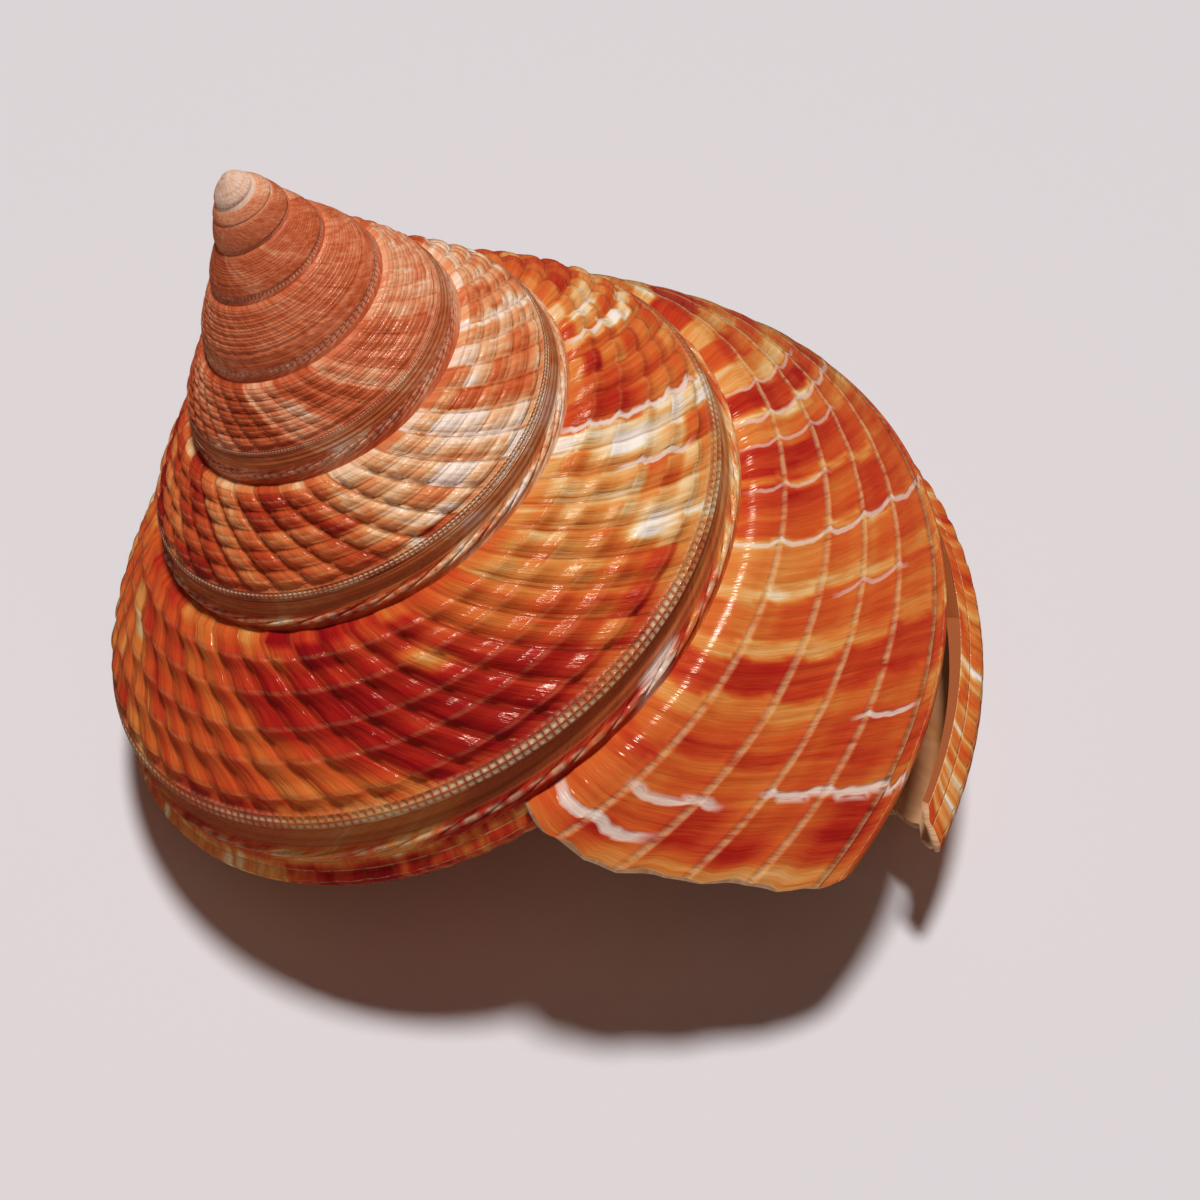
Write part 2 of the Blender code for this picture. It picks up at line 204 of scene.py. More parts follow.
def sweptTurn(row, place):
    bandPlace = lines["bandPlace"]
    spire = np.where(place < bandPlace, place / bandPlace, (1 - place) / (1 - bandPlace))
    spire = np.where(place > 1, 0.0, -lines["sweep"] * spire)
    onBase = curveThrough(place - 2, lines["basePlaces"], lines["base"])
    onRim = curveThrough(place, np.linspace(1, 2, len(lines["rim"])), lines["rim"])
    onFace = curveThrough(place, lines["facePlaces"], lines["face"])
    lip = np.where(place <= 1, onFace, np.where(place <= 2, onRim, onBase))
    wave = sum(size * np.sin(place * count + start) for size, count, start in lines["waves"])
    wave = wave * np.maximum(0.0, 1 + row / lines["waveTurns"])
    wave = wave * smoothStep(place / 0.1) * smoothStep((2.7 - place) / 0.3)
    return row + spire + (lip - spire) * lipShare(row) + wave


# Growth line through a point, which below the slit band bends less than the rows of the grid
def growthAt(row, place):
    below = np.clip((place - lines["bandPlace"]) / (1 - lines["bandPlace"]), 0, 1)
    bend = lines["belowShare"] * lines["sweep"] * below * (1 - lipShare(row))
    return row + np.where(place <= 1, bend, 0.0)


# Millimetres on the coil to metres in the room, held just above the floor
def toWorld(radius, depth, turn):
    angle = 2 * math.pi * (turn + coil["startAngle"])
    lean = math.radians(coil["lean"])
    side = radius * np.cos(angle)
    points = np.stack([
        math.sin(lean) * depth + math.cos(lean) * side + coil["tip"][0],
        -radius * np.sin(angle) + coil["tip"][1],
        -math.cos(lean) * depth + math.sin(lean) * side + coil["tip"][2],
    ], axis=-1)
    points[..., 2] = np.maximum(points[..., 2], 0.03)
    return points * 0.001


# Grid lines: columns follow the cords, rows follow the growth lines
grid = {
    "rowsPerTurn": (24, 30, 40, 60, 100, 180, 260, 384, 440),
    "slitTurns": 0.125,
    "rimColumns": 14,
    "baseColumns": 18,
}

columnSteps = [0, 0.35]
for cord in range(1, 6):
    columnSteps += [cord - 0.3, cord - 0.15, cord, cord + 0.15, cord + 0.3, cord + 0.5]
columnSteps += [5.75, 6, 6.2, 6.4, 6.6, 6.8, 7, 7.35, 7.7]
slitTop = len(columnSteps)
columnSteps += [8, 8.25, 8.5, 8.75, 9, 9.4, 9.7, 10, 10.3, 10.65]
slitBottom = len(columnSteps)
columnSteps = np.array(columnSteps + [11])
rimPlaces = np.linspace(1, 2, grid["rimColumns"] + 1)[1:]
basePlaces = np.linspace(2, 3, grid["baseColumns"] + 1)[1:]

firstTurn = -len(grid["rowsPerTurn"])
rows = np.concatenate([
    np.linspace(firstTurn + index, firstTurn + index + 1, count, endpoint=False)
    for index, count in enumerate(grid["rowsPerTurn"])
] + [[0.0]])
rows = rows[:, None]
lastTurn = int(np.argmax(rows[:, 0] >= -1 - 1e-9))
slitRow = int(np.argmax(rows[:, 0] >= -grid["slitTurns"]))


def facePlacesAt(row):
    table = np.array(features["places"], float)
    table = np.stack([np.interp(row[:, 0], features["turns"], column) for column in table.T], axis=-1)
    whole = np.clip(np.floor(columnSteps).astype(int), 0, table.shape[1] - 2)
    part = columnSteps - whole
    return table[:, whole] * (1 - part) + table[:, whole + 1] * part


# Relief, heights in fractions of the chord at a few turns
relief = {
    "turns": (-7, -5, -4, -3, -2, -1.2, -0.7, -0.4, 0),
    "cordHeight": (0.001, 0.006, 0.015, 0.022, 0.028, 0.024, 0.018, 0.009, 0.006),
    "cordWidth": (0.34, 0.34, 0.34, 0.34, 0.34, 0.27, 0.24, 0.13, 0.10),
    "beadCut": (0, 0.1, 0.4, 0.65, 0.85, 0.50, 0.3, 0.1, 0),
    "ribHeight": (0, 0, 0.001, 0.002, 0.003, 0.004, 0.003, 0.001, 0),
    "bandHeight": (0.002, 0.004, 0.006, 0.008, 0.012, 0.015, 0.012, 0.006, 0.003),
    "mottle": (0.02, 0.03, 0.03, 0.045, 0.13, 0.11, 0.08, 0.05, 0.04),
    "grooveDepth": (0, 0, 0.001, 0.002, 0.006, 0.011, 0.007, 0.002, 0.001),
    "ribTurns": (-7, -1.7, -1.4, 0),
    "ribCount": (36, 36, 48, 48),
    "bandHollow": 0.006,
    "underHeight": 0.012,
    "underCords": 4.5,     # cords from the rim to the base edge
    "underNotch": 0.55,
    "underRibs": 1.5,      # ribs of the base for each rib above
    "scarHeight": 0.003,
}


def atTurns(key, row):
    return np.interp(row, relief["turns"], relief[key])


def ribPhase(row):
    fine = np.linspace(relief["ribTurns"][0], 0, 7001)
    count = np.interp(fine, relief["ribTurns"], relief["ribCount"])
    total = np.concatenate([[0], np.cumsum((count[1:] + count[:-1]) / 2 * (fine[1] - fine[0]))])
    return 2 * math.pi * np.interp(row, fine, total)


def ridge(step, middle, width):
    return np.exp(-((step - middle) / width) ** 2)


def faceRelief(row, step):
    phase = ribPhase(row)
    rib = np.cos(phase)
    notch = (0.5 - 0.5 * rib) ** 5
    narrow = sum(ridge(step, middle, atTurns("cordWidth", row)) for middle in range(1, 6))
    full = (1 - ridge(step % 1, 0.5, 0.15)) * smoothStep(step / 0.6) * smoothStep((5.8 - step) / 0.4)
    cords = full + (narrow - full) * smoothStep((row + 1.85) / 0.5)
    lowCord = ridge(step, 10, 0.35) * smoothStep((-0.2 - row) / 0.2)
    height = atTurns("cordHeight", row) * (cords + lowCord) * (1 - atTurns("beadCut", row) * notch)
    upper = smoothStep(step / 0.5) * smoothStep((5.9 - step) / 0.6)
    ribs = atTurns("ribHeight", row) * rib - atTurns("grooveDepth", row) * notch
    height = height + ribs * (upper + 0.6 * lowCord)
    band = smoothStep((step - 5.85) / 0.25) * smoothStep((7.15 - step) / 0.25)
    height = height + atTurns("bandHeight", row) * band
    slitBand = np.sin(math.pi * np.clip(step - 8, 0, 1)) * smoothStep((-0.13 - row) / 0.1)
    height = height - relief["bandHollow"] * slitBand
    return height * smoothStep((row + 6.6) / 1.5)


def underRelief(row, place):
    wave = 0.5 + 0.5 * np.cos(2 * math.pi * (place - 1) * relief["underCords"])
    fade = smoothStep((place - 1.05) / 0.1) * smoothStep((2.8 - place) / 0.5)
    notch = (0.5 - 0.5 * np.cos(ribPhase(row) * relief["underRibs"])) ** 3
    return relief["underHeight"] * wave ** 2 * fade * (1 - relief["underNotch"] * notch)


def outside(row, place, height):
    turn = sweptTurn(row, place)
    radius, depth = sectionPoint(turn, place)
    alongRadius = np.gradient(radius, axis=1)
    alongDepth = np.gradient(depth, axis=1)
    size = np.hypot(alongRadius, alongDepth) + 1e-9
    lift = height * chordLength(turn)
    return radius + lift * alongDepth / size, depth - lift * alongRadius / size, turn


# Pattern of the shell, colour from 0 deep crimson over red, orange, amber and cream to 1 white
pattern = {
    # growth where a colour begins, read along the upper seam, and the colour
    "tip": ((-9.2, 0.94), (-7.7, 0.82), (-7.1, 0.70)),
    "lastWhorl": (
        (-0.460, 0.66), (-0.430, 0.50), (-0.395, 0.61), (-0.372, 0.81), (-0.352, 0.56), (-0.336, 0.79),
        (-0.322, 0.29), (-0.292, 0.69), (-0.273, 0.35), (-0.255, 0.70), (-0.238, 0.24), (-0.222, 0.81),
        (-0.218, 0.61), (-0.202, 0.28), (-0.182, 0.73), (-0.178, 0.33), (-0.152, 0.77), (-0.149, 0.60),
        (-0.130, 0.78), (-0.124, 0.48), (-0.106, 0.73), (-0.097, 0.25), (-0.080, 0.64), (-0.070, 0.49),
        (-0.057, 0.27), (-0.050, 0.50), (-0.026, 0.44), (-0.012, 0.48),
    ),
    "middleWhorl": (
        (-1.460, 0.70), (-1.385, 0.84), (-1.360, 0.50), (-1.310, 0.46), (-1.270, 0.72), (-1.245, 0.48),
        (-1.232, 0.84), (-1.220, 0.52), (-1.175, 0.46), (-1.145, 0.86), (-1.125, 0.70), (-1.060, 0.56),
        (-1.020, 0.40), (-0.990, 0.30), (-0.950, 0.12), (-0.885, 0.58), (-0.800, 0.32), (-0.740, 0.52),
        (-0.700, 0.36),
    ),
    "spire": (
        (-2.460, 0.62), (-2.400, 0.42), (-2.330, 0.78), (-2.225, 0.70), (-2.190, 0.92), (-2.175, 0.72),
        (-2.075, 0.94), (-2.045, 0.80), (-1.945, 0.62), (-1.920, 0.42), (-1.850, 0.58), (-1.800, 0.32),
        (-1.720, 0.52),
    ),
    # bands made by chance: growth from, to, shortest, longest, colours
    "chanceBands": (
        (-6.90, -3.60, 0.030, 0.120, (0.50, 0.54, 0.59, 0.65, 0.74)),
        (-3.60, -2.46, 0.020, 0.080, (0.40, 0.47, 0.53, 0.60, 0.74)),
        (-1.69, -1.47, 0.015, 0.050, (0.20, 0.40, 0.50, 0.58, 0.66)),
        (-0.68, -0.47, 0.012, 0.035, (0.12, 0.30, 0.42, 0.50, 0.70, 0.86)),
    ),
    # growth, place, half length, half height, colour, strength
    "patches": (
        (-0.915, 0.42, 0.070, 0.26, 0.08, 0.9), (-0.860, 0.25, 0.030, 0.18, 0.12, 0.6),
        (-1.030, 0.18, 0.050, 0.20, 0.66, 0.7), (-1.062, 0.53, 0.012, 0.08, 1.00, 1.0),
        (-1.125, 0.30, 0.012, 0.16, 0.98, 1.0), (-0.955, 0.25, 0.010, 0.07, 0.92, 0.7),
        (-0.800, 0.40, 0.040, 0.30, 0.42, 0.7), (-2.000, 0.25, 0.050, 0.20, 0.84, 0.6),
        (-2.040, 0.45, 0.012, 0.20, 0.98, 0.9), (-2.110, 0.50, 0.030, 0.10, 0.45, 0.7),
        (-0.022, 0.70, 0.012, 0.08, 0.16, 1.0), (-0.010, 0.47, 0.011, 0.06, 0.18, 1.0),
        (-0.008, 0.15, 0.009, 0.05, 0.18, 1.0), (-0.022, 0.33, 0.011, 0.06, 0.22, 1.0),
        (-1.160, 0.20, 0.012, 0.13, 0.12, 0.9), (0.000, 0.45, 0.007, 0.34, 0.76, 0.9),
    ),
    # thin pale growth lines: growth, from place, to place, half width, strength
    "scars": (
        (-0.218, 0.00, 0.80, 0.0013, 0.5), (-0.238, 0.00, 0.52, 0.0010, 0.4),
        (-0.203, 0.00, 0.45, 0.0010, 0.4), (-0.178, 0.02, 0.30, 0.0010, 0.4),
        (-0.150, 0.00, 0.80, 0.0012, 0.6), (-0.038, 0.42, 0.80, 0.0016, 0.85),
        (-0.016, 0.00, 0.26, 0.0024, 0.9), (-0.034, 0.12, 0.34, 0.0018, 0.8),
        (-0.122, 0.35, 0.60, 0.0010, 0.4), (-0.066, 0.55, 0.72, 0.0010, 0.8),
        (-1.147, 0.00, 0.70, 0.0028, 0.8), (-1.108, 0.30, 0.62, 0.0022, 0.7),
        (-1.228, 0.02, 0.30, 0.0028, 0.8), (-0.995, 0.90, 1.00, 0.0110, 0.8),
    ),
    "arch": 0.0030,       # how far the colours bow forward between two cords
    "blend": 0.0024,      # width of the change from one colour to the next
    "shifts": ((2.7, 23, 0.0022), (5.1, 61, 0.0014)),   # unevenness from cord to cord
    "plain": 0.46,        # orange that the bands of the last whorl fade into toward the rim
    "farAway": 9.0,       # half widths past which a pale line no longer counts
    "seed": 7,
}

chance = np.random.default_rng(pattern["seed"])
bands = list(pattern["tip"] + pattern["spire"] + pattern["middleWhorl"] + pattern["lastWhorl"])
for start, end, short, long, tones in pattern["chanceBands"]:
    while start < end:
        bands.append((start, float(chance.choice(tones))))
        start += float(chance.uniform(short, long))
bands.sort()
# Small differences of tone between one rib and the next, on each cord
blockTones = chance.normal(0, 1, (400, 24))


# How far the colours bow forward, which is none on a cord and most between two
def archAt(step):
    part = step - np.floor(step)
    return pattern["arch"] * 4 * part * (1 - part)


def toneAt(row, place, step):
    cell = np.floor(step)
    shift = sum(np.sin(cell * apart + row * waves) * size for apart, waves, size in pattern["shifts"])
    drawn = growthAt(row, place)
    spot = drawn - archAt(step) + shift * smoothStep((row + 6.5) / 4)
    tone = np.full(np.broadcast(row, place).shape, bands[0][1])
    for (start, colour), (_, before) in zip(bands[1:], bands[:-1]):
        tone = tone + (colour - before) * smoothStep((spot - start) / pattern["blend"] + 0.5)
    even = smoothStep((place - 0.15) / 0.5) * (0.25 + 0.35 * np.sin(cell * 1.9 + row * 17) ** 2)
    tone = tone + (pattern["plain"] - tone) * even * smoothStep((row + 0.75) / 0.2)
    rib = np.floor(ribPhase(drawn) / (2 * math.pi) + 0.5).astype(int)
    tone = tone + atTurns("mottle", drawn) * blockTones[rib, np.rint(step).astype(int)]
    for middle, height, long, high, colour, strength in pattern["patches"]:
        near = np.exp(-((drawn - middle) / long) ** 4 - ((place - height) / high) ** 4)
        tone = tone + (colour - tone) * strength * near
    return tone


# How far a point is from the nearest pale growth line, in its half widths, and how strong that is
def scarAt(row, place, step):
    spot = growthAt(row, place) - archAt(step)
    across = np.full(np.broadcast(row, place).shape, pattern["farAway"])
    along = np.zeros(across.shape)
    for middle, low, high, wide, strength in pattern["scars"]:
        inside = smoothStep((place - low) / 0.03 + 0.5) * smoothStep((high - place) / 0.05 + 0.5)
        distance = np.clip((spot - middle) / wide, -pattern["farAway"], pattern["farAway"])
        nearer = np.abs(distance) < np.abs(across)
        across = np.where(nearer, distance, across)
        close = np.abs(distance) < max(2.3, 0.003 / wide)
        along = np.where(nearer, strength * inside * close, along)
    return across, along


# Collect every part of the surface in one mesh
points = []
faces = []
faceSlots = []
names = (
    "growth", "turn", "place", "step", "tone", "scarAcross", "scarAlong",
    "crest", "rib", "hollow", "beads", "band", "old",
)
values = {name: [] for name in names}


def addGrid(spots, slot, keep=None, flip=False, **given):
    first = sum(len(part) for part in points)
    count, width = spots.shape[:2]
    points.append(spots.reshape(-1, 3))
    for name in values:
        part = np.broadcast_to(given.get(name, 0.0), (count, width))
        values[name].append(part.reshape(-1))
    index = first + np.arange(count * width).reshape(count, width)
    quads = np.stack([index[:-1, :-1], index[:-1, 1:], index[1:, 1:], index[1:, :-1]], axis=-1)
    if flip:
        quads = quads[..., ::-1]
    quads = quads[keep] if keep is not None else quads.reshape(-1, 4)
    faces.append(quads)
    faceSlots.append(np.full(len(quads), slot))


facePlaces = facePlacesAt(rows)
scarAcross, scarAlong = scarAt(rows, facePlaces, columnSteps[None, :])
height = faceRelief(rows, columnSteps[None, :])
height = height + relief["scarHeight"] * scarAlong * np.exp(-scarAcross ** 2)
radius, depth, turn = outside(rows, facePlaces, height)
radius[:, 0], depth[:, 0] = sectionPoint(turn[:, 0] - 1, 1.0)
keep = np.ones((len(rows) - 1, len(columnSteps) - 1), bool)
keep[slitRow:, slitTop:slitBottom + 1] = False

# How strongly pale cord lines and the painted shade in the hollows show, at a few turns
marks = {
    "crest": ((-8, -5, -3, -1.6, -1.2, -0.7, -0.4), (0, 0.10, 0.16, 0.14, 0.08, 0.12, 0.55)),
    "hollow": ((-5, -3, -1.6, -0.9, -0.5), (0.05, 0.20, 0.5, 0.4, 0.15)),
    "lipCrest": 0.7,
    "underCrest": 0.6,
    "underGrooveShade": 0.5,
    "paleTurns": 0.0035,   # turns from one pale streak of the rim to the next
    "paleTone": 0.5,
}

upper = smoothStep((columnSteps - 0.5) / 0.3) * smoothStep((5.6 - columnSteps) / 0.2)
lower = smoothStep((columnSteps - 9.4) / 0.3) * smoothStep((10.6 - columnSteps) / 0.3)
crest = np.interp(rows, *marks["crest"]) * (upper + lower)
# painted shade in the hollows between the cords and ribs of the face
hollow = np.interp(rows, *marks["hollow"]) * (columnSteps < 5.8)
doubleCord = smoothStep((columnSteps - 5.9) / 0.2) * smoothStep((7.1 - columnSteps) / 0.2)
nearLip = smoothStep((rows + 0.45) / 0.2)
beads = doubleCord * smoothStep((rows + 3.6) / 1.4) * (1 - nearLip)
crest = crest + marks["lipCrest"] * doubleCord * nearLip
band = smoothStep((columnSteps - 7.1) / 0.3) * smoothStep((9.3 - columnSteps) / 0.3)
band = band * smoothStep((rows + 4.5) / 2)
faceSpots = toWorld(radius, depth, turn)
addGrid(
    faceSpots, 0, keep,
    growth=growthAt(rows, facePlaces), turn=turn, place=facePlaces, step=columnSteps[None, :],
    tone=toneAt(rows, facePlaces, columnSteps[None, :]),
    scarAcross=scarAcross, scarAlong=scarAlong,
    crest=crest, rib=ribPhase(rows) / (2 * math.pi), hollow=hollow, beads=beads, band=band,
    old=smoothStep((-0.9 - rows) / 2.0),
)
print("whorls", len(faces[0]))

# Rim and base of the last whorl
underPlaces = np.concatenate([[1.0], rimPlaces, basePlaces])[None, :]
underRows = rows[lastTurn:]
underHeight = underRelief(underRows, underPlaces)
radius, depth, turn = outside(underRows, underPlaces, underHeight)
underCount = (underPlaces - 1) * relief["underCords"]
paleSpots = np.arange(-1.2, 0.02, marks["paleTurns"])
pale = np.interp(underRows, paleSpots, chance.random(len(paleSpots)) ** 5)
pale = pale * smoothStep((2.1 - underPlaces) / 0.5)
underTone = toneAt(underRows, underPlaces, columnSteps[-1] + underCount)
underTone = underTone + 0.12 * smoothStep(underPlaces - 1.9) + marks["paleTone"] * pale
addGrid(
    toWorld(radius, depth, turn), 0,
    growth=underRows, turn=turn, place=underPlaces, step=columnSteps[-1] + 2 * underCount,
    tone=underTone,
    rib=ribPhase(underRows) / (2 * math.pi) * relief["underRibs"],
    # painted shade in the hollows of the rim
    hollow=marks["underGrooveShade"] * smoothStep((underPlaces - 1) / 0.1) * smoothStep(2 - underPlaces),
    crest=marks["underCrest"], scarAcross=pattern["farAway"],
    old=smoothStep((underPlaces - 2.2) / 1.2) * 0.5,
)
print("base", len(faces[1]))

# Hollow of the mouth
mouth = {
    "middle": (0.70, -0.35),   # what the walls close in on, in fractions of the chord
    "lipWall": 0.4,            # millimetres at the lip
    "wall": 1.5,               # and further in
    "wallTurns": 0.30,         # turns over which the wall thickens
    "turns": 0.75,
    "rows": 72,
    "corner": 0.141,           # place where the inside leaves the inner whorl
    "cornerPlace": 1 + 2 / 7,  # and what that is on the inner whorl
    "foot": 2.48,              # where the base wall turns up along the pillar
    "head": 2.71,              # and where that meets the inner whorl
    "innerColumns": 24,
    "pillarColumns": 7,
    "dome": 4,                 # depth of the blind end, in rows of the hollow
    "domeRings": 7,
    "edge": 0.00022,           # metres that the lip edge bulges
    "edgeSteps": 5,
}

innerRows = -mouth["turns"] * np.linspace(0, 1, mouth["rows"])[:, None] ** 1.3
slitSteps = int(np.argmax(innerRows[:, 0] < -grid["slitTurns"]))
innerRows[slitSteps] = rows[slitRow, 0]
abovePlaces = [mouth["corner"], 0.19, 0.24, 0.29, 0.36, 0.43, 0.50, 0.57, 0.64, 0.71, 0.77, 0.79]
endPlaces = facePlacesAt(rows[-1:])[0]
innerPlaces = np.concatenate([
    abovePlaces, [endPlaces[slitTop], 0.87, 0.93, 1.0], rimPlaces,
    basePlaces[basePlaces < mouth["foot"]], [mouth["foot"]],
])[None, :]
holeStart = len(abovePlaces)
holeEnd = holeStart + 3
thicker = smoothStep(-innerRows / mouth["wallTurns"])
wall = mouth["lipWall"] + (mouth["wall"] - mouth["lipWall"]) * thicker
turn = sweptTurn(innerRows, innerPlaces)
radius, depth = sectionPoint(turn, innerPlaces)
alongRadius = np.gradient(radius, axis=1)
alongDepth = np.gradient(depth, axis=1)
size = np.hypot(alongRadius, alongDepth)
middleRadius, middleDepth = chordPoint(turn, *mouth["middle"])
inwardRadius = middleRadius - radius
inwardDepth = middleDepth - depth
reach = np.hypot(inwardRadius, inwardDepth)
facing = np.abs(-inwardRadius * alongDepth + inwardDepth * alongRadius) / (reach * size)
travel = wall / np.maximum(facing, 0.55) / reach
radius = radius + inwardRadius * travel
depth = depth + inwardDepth * travel
innerSpots = toWorld(radius, depth, turn)
# First column meets the inner whorl, as the last one of the pillar does
cornerRadius, cornerDepth = sectionPoint(innerRows[:, 0] - 1, mouth["cornerPlace"])
innerSpots[:, 0] = toWorld(cornerRadius, cornerDepth, innerRows[:, 0] - 1)
pillarSteps = np.linspace(0, 1, mouth["pillarColumns"] + 1)[1:][None, :]
headRadius, headDepth = sectionPoint(innerRows - 1, mouth["head"])
footRadius = radius[:, -1:]
footDepth = depth[:, -1:]
pillarRadius = footRadius + (headRadius - footRadius) * (1 - np.cos(pillarSteps * math.pi / 2))
pillarDepth = footDepth + (headDepth - footDepth) * np.sin(pillarSteps * math.pi / 2)
pillarTurn = turn[:, -1:] + (innerRows - turn[:, -1:]) * smoothStep(pillarSteps)
innerSpots = np.concatenate([innerSpots, toWorld(pillarRadius, pillarDepth, pillarTurn)], axis=1)
keep = np.ones((len(innerRows) - 1, innerSpots.shape[1] - 1), bool)
keep[:slitSteps, holeStart:holeEnd] = False
innerAcross = np.linspace(0, 1, innerSpots.shape[1])[None, :]
addGrid(innerSpots, 1, keep, flip=True, growth=innerRows, place=innerAcross)

wallPlaces = np.linspace(mouth["cornerPlace"], mouth["head"], mouth["innerColumns"])[None, :]
radius, depth = sectionPoint(innerRows - 1, wallPlaces)
parietal = toWorld(radius, depth, innerRows - 1)
addGrid(parietal, 1, growth=innerRows, place=np.linspace(0, 1, mouth["innerColumns"])[None, :])

# Blind end of the hollow
ring = np.concatenate([innerSpots[-1], parietal[-1, ::-1][1:-1]])
before = np.concatenate([innerSpots[-2], parietal[-2, ::-1][1:-1]])
onward = (ring - before).mean(axis=0) * mouth["dome"]
centre = ring.mean(axis=0)
dome = np.stack([
    centre + (ring - centre) * math.cos(angle) + onward * math.sin(angle)
    for angle in np.linspace(0, math.pi / 2, mouth["domeRings"])
])
dome = np.concatenate([dome, dome[:, :1]], axis=1)
addGrid(dome, 1)
print("hollow", len(faces[2]) + len(faces[3]))


# Edge of the lip, rounded between the outside and the inside
def edgeStrip(outer, inner, bulge, slot, flip=False, **given):
    strip = [
        outer + (inner - outer) * share + bulge * math.sin(share * math.pi)
        for share in np.linspace(0, 1, mouth["edgeSteps"])
    ]
    addGrid(np.stack(strip), slot, flip=flip, **given)


# The last two rows, across the face, the rim and the base
outerUnder = toWorld(*outside(rows[-2:], underPlaces, underHeight[-2:]))
beforeEdge, outerEdge = np.concatenate([faceSpots[-2:], outerUnder[:, 1:]], axis=1)
forwardEdge = outerEdge - beforeEdge
forwardEdge = forwardEdge / (np.linalg.norm(forwardEdge, axis=1, keepdims=True) + 1e-12)
allPlaces = np.concatenate([facePlaces[-1], underPlaces[0, 1:]])
pillarPlaces = mouth["foot"] + (mouth["head"] - mouth["foot"]) * pillarSteps[0]
innerAll = np.concatenate([innerPlaces[0], pillarPlaces])
innerEdge = np.stack([
    np.interp(allPlaces, innerAll, innerSpots[0][:, axis]) for axis in range(3)
], axis=-1)
nearCorner = 1 + allPlaces / mouth["corner"] * (mouth["cornerPlace"] - 1)
previousPlace = np.where(allPlaces < mouth["corner"], nearCorner, allPlaces)
radius, depth = sectionPoint(-1.0, previousPlace)
previous = toWorld(radius, depth, -1.0)
onPrevious = (allPlaces < mouth["corner"]) | (allPlaces > mouth["head"])
innerEdge = np.where(onPrevious[:, None], previous, innerEdge)
for low, high, corner in ((0, slitTop, slitTop), (slitBottom, len(allPlaces) - 1, slitBottom)):
    part = slice(low, high + 1)
    blunt = np.minimum(1, np.abs(allPlaces[part] - allPlaces[corner]) / 0.03)
    bulge = forwardEdge[part] * blunt[:, None] * mouth["edge"]
    edgeStrip(outerEdge[part], innerEdge[part], bulge, 2, flip=True, place=allPlaces[None, part])
print("lip ready")

# Walls of the slit, dark brown with painted shade
slitRows = rows[slitRow:, 0]
flat = np.zeros(3)
for column, hole in ((slitTop, holeStart), (slitBottom, holeEnd)):
    outer = faceSpots[slitRow:, column]
    inner = np.stack([
        np.interp(slitRows, innerRows[slitSteps::-1, 0], innerSpots[slitSteps::-1, hole, axis])
        for axis in range(3)
    ], axis=-1)
    # these walls are given the dark brown slit colour, which is painted shade
    edgeStrip(outer, inner, flat, 2, flip=column == slitTop, place=0.8, old=1.0)
outer = faceSpots[slitRow, slitTop:slitBottom + 1]
inner = np.linspace(innerSpots[slitSteps, holeStart], innerSpots[slitSteps, holeEnd], len(outer))
edgeStrip(outer, inner, flat, 2, place=0.8, old=1.0)

shellMesh = bpy.data.meshes.new("shell")
allPoints = np.concatenate(points)
allFaces = np.concatenate(faces)
shellMesh.from_pydata(allPoints.tolist(), [], allFaces.tolist())
shellMesh.polygons.foreach_set("material_index", np.concatenate(faceSlots).astype(np.int32))
for name, parts in values.items():
    layer = shellMesh.attributes.new(name, "FLOAT", "POINT")
    layer.data.foreach_set("value", np.concatenate(parts).astype(np.float32))
shellMesh.validate()
shellMesh.shade_smooth()
shell = bpy.data.objects.new("shell", shellMesh)
bpy.context.scene.collection.objects.link(shell)
print("shell", len(allPoints), "points", len(allFaces) * 2, "triangles")


# Materials
def setOrLink(tree, socket, value):
    if isinstance(value, tuple):
        socket.default_value = (*value, 1)
    elif isinstance(value, (int, float)):
        socket.default_value = value
    else:
        tree.links.new(value, socket)


def attribute(tree, name):
    node = tree.nodes.new("ShaderNodeAttribute")
    node.attribute_name = name
    return node.outputs["Fac"]


def maths(tree, operation, *given):
    node = tree.nodes.new("ShaderNodeMath")
    node.operation = operation
    for socket, value in zip(node.inputs, given):
        setOrLink(tree, socket, value)
    return node.outputs[0]


def times(tree, first, second):
    return maths(tree, "MULTIPLY", first, second)


def timesPlus(tree, first, second, third):
    return maths(tree, "MULTIPLY_ADD", first, second, third)


def clamped(tree, value):
    node = tree.nodes.new("ShaderNodeClamp")
    tree.links.new(value, node.inputs["Value"])
    return node.outputs[0]


# A straight slope through a value, held between 0 and 1
def mask(tree, value, slope):
    return clamped(tree, timesPlus(tree, value, *slope))


def noise(tree, first, second, kind):
    firstWaves, secondWaves, start, detail, roughness = kind
    combine = tree.nodes.new("ShaderNodeCombineXYZ")
    spot = (times(tree, first, firstWaves), times(tree, second, secondWaves), start)
    for socket, value in zip(combine.inputs, spot):
        setOrLink(tree, socket, value)
    node = tree.nodes.new("ShaderNodeTexNoise")
    node.inputs["Scale"].default_value = 1.0
    node.inputs["Detail"].default_value = detail
    node.inputs["Roughness"].default_value = roughness
    tree.links.new(combine.outputs[0], node.inputs["Vector"])
    return node.outputs["Fac"]


def ramp(tree, value, stops):
    node = tree.nodes.new("ShaderNodeValToRGB")
    elements = node.color_ramp.elements
    while len(elements) < len(stops):
        elements.new(0.5)
    for element, (place, colour) in zip(elements, stops):
        element.position = place
        element.color = (*colour, 1)
    tree.links.new(value, node.inputs[0])
    return node.outputs["Color"]


def mixColour(tree, share, first, second):
    node = tree.nodes.new("ShaderNodeMix")
    node.data_type = "RGBA"
    sockets = (node.inputs["Factor"], node.inputs[6], node.inputs[7])
    for socket, value in zip(sockets, (share, first, second)):
        setOrLink(tree, socket, value)
    return node.outputs[2]


def newMaterial(name):
    material = bpy.data.materials.new(name)
    material.use_nodes = True
    return material, material.node_tree, material.node_tree.nodes["Principled BSDF"]


def addBump(tree, shader, height, distance):
    bump = tree.nodes.new("ShaderNodeBump")
    bump.inputs["Distance"].default_value = distance
    tree.links.new(height, bump.inputs["Height"])
    tree.links.new(bump.outputs["Normal"], shader.inputs["Normal"])


